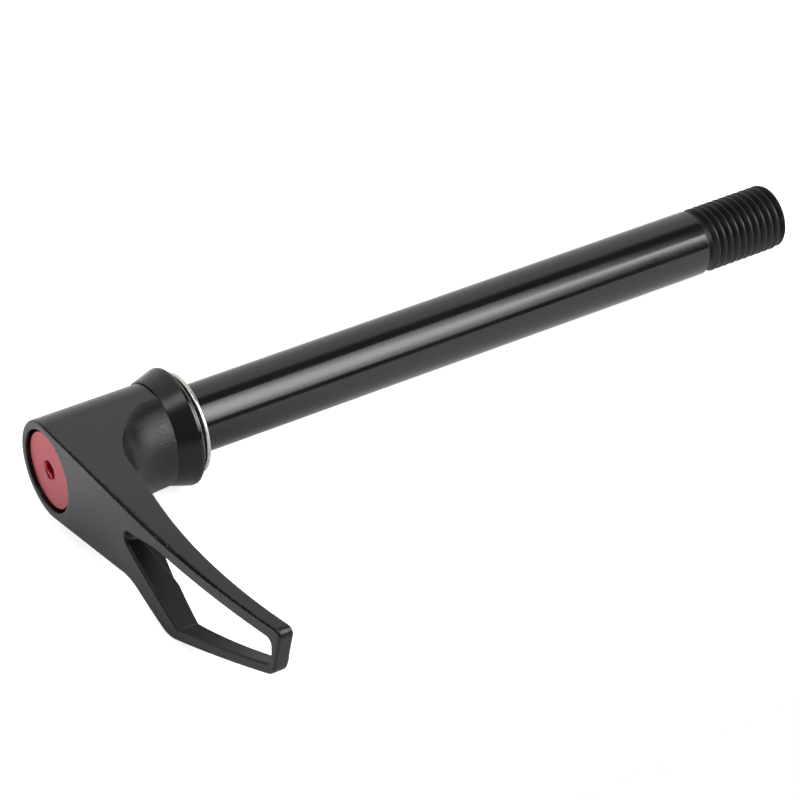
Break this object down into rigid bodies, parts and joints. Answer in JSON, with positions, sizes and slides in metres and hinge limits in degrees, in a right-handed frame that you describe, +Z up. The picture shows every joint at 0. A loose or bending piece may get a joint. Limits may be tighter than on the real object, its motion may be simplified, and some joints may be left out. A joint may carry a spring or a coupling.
{
  "type": "bicycle thru axle",
  "caption": "Hollow bicycle thru axle with a threaded tip, a conical collar, a seat washer and a windowed pull-out indexing lever held by a sprung cap screw.",
  "frame": {"origin": "centre of the washer's seat face, on the axle's centre line", "axes": "+X along the axle from the head to the threaded tip, +Z up, the lever's arm towards -Y"},
  "size_m": [0.1491, 0.078, 0.0213],
  "materials": {
    "gloss_black_anodised": "satin black anodised, turned",
    "matte_black_anodised": "bead-blasted black anodised",
    "red_anodised": "bright red anodised, turned",
    "washer_steel": "ground bright steel",
    "spring_steel": "drawn spring wire",
    "black_rubber": "matt black rubber"
  },
  "bodies": {
    "axle": {"axle": "gloss_black_anodised", "seal_ring": "black_rubber", "return_spring": "spring_steel", "cap_screw": "red_anodised"},
    "lever": {"lever": "matte_black_anodised"},
    "washer": {"seat_washer": "washer_steel"}
  },
  "joints": [
    {"name": "lever_pull", "type": "slide", "parent": "axle", "child": "lever", "axis": [-1, 0, 0], "range_m": [0, 0.0048], "stiffness_N_per_m": 1500, "springref_m": -0.004, "deforming": ["return_spring"]},
    {"name": "washer_spin", "type": "hinge", "parent": "axle", "child": "washer", "pos_m": [0, 0, 0], "axis": [1, 0, 0], "continuous": true}
  ]
}
